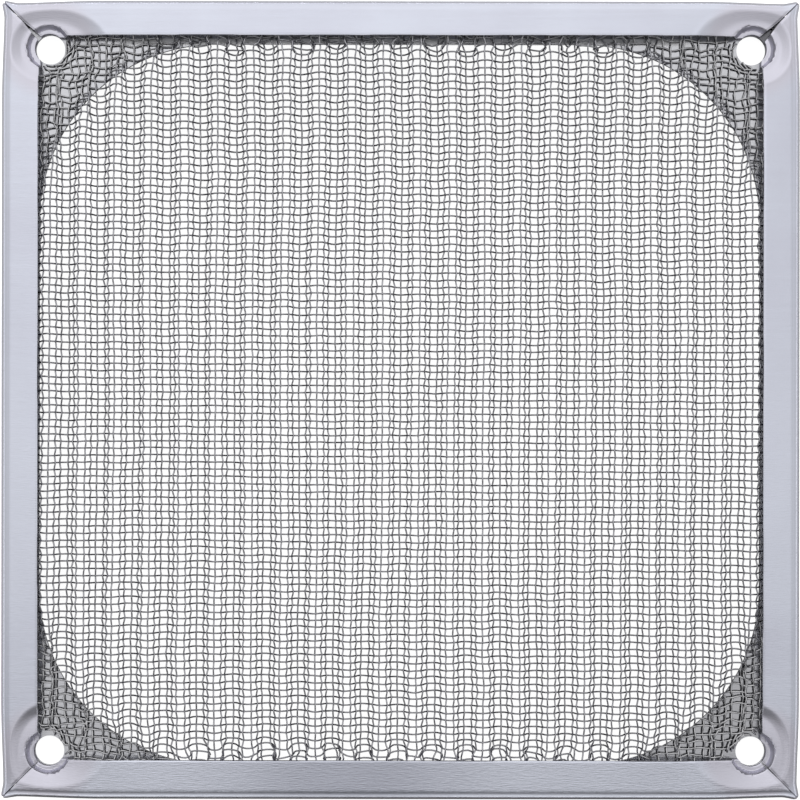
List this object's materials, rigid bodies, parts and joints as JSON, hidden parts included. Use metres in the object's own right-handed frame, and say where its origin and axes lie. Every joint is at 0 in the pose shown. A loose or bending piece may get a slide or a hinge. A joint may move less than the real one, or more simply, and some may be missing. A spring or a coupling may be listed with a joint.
{
  "type": "fan dust filter",
  "caption": "Square dust filter for an axial fan: a folded sheet frame with mitred lips and dished screw corners clamps a pleated wire mesh.",
  "frame": {"origin": "under the centre of the filter, on the back face of the back plate", "axes": "+Z out of the front lips, +Y along the pleats, +X across the pleats"},
  "size_m": [0.119, 0.119, 0.0032],
  "materials": {
    "sheet": "satin, with a fine rolled grain",
    "wire": "drawn wire, half gloss"
  },
  "bodies": {
    "root": {"folded_frame": "sheet", "pleated_mesh": "wire"}
  },
  "joints": []
}
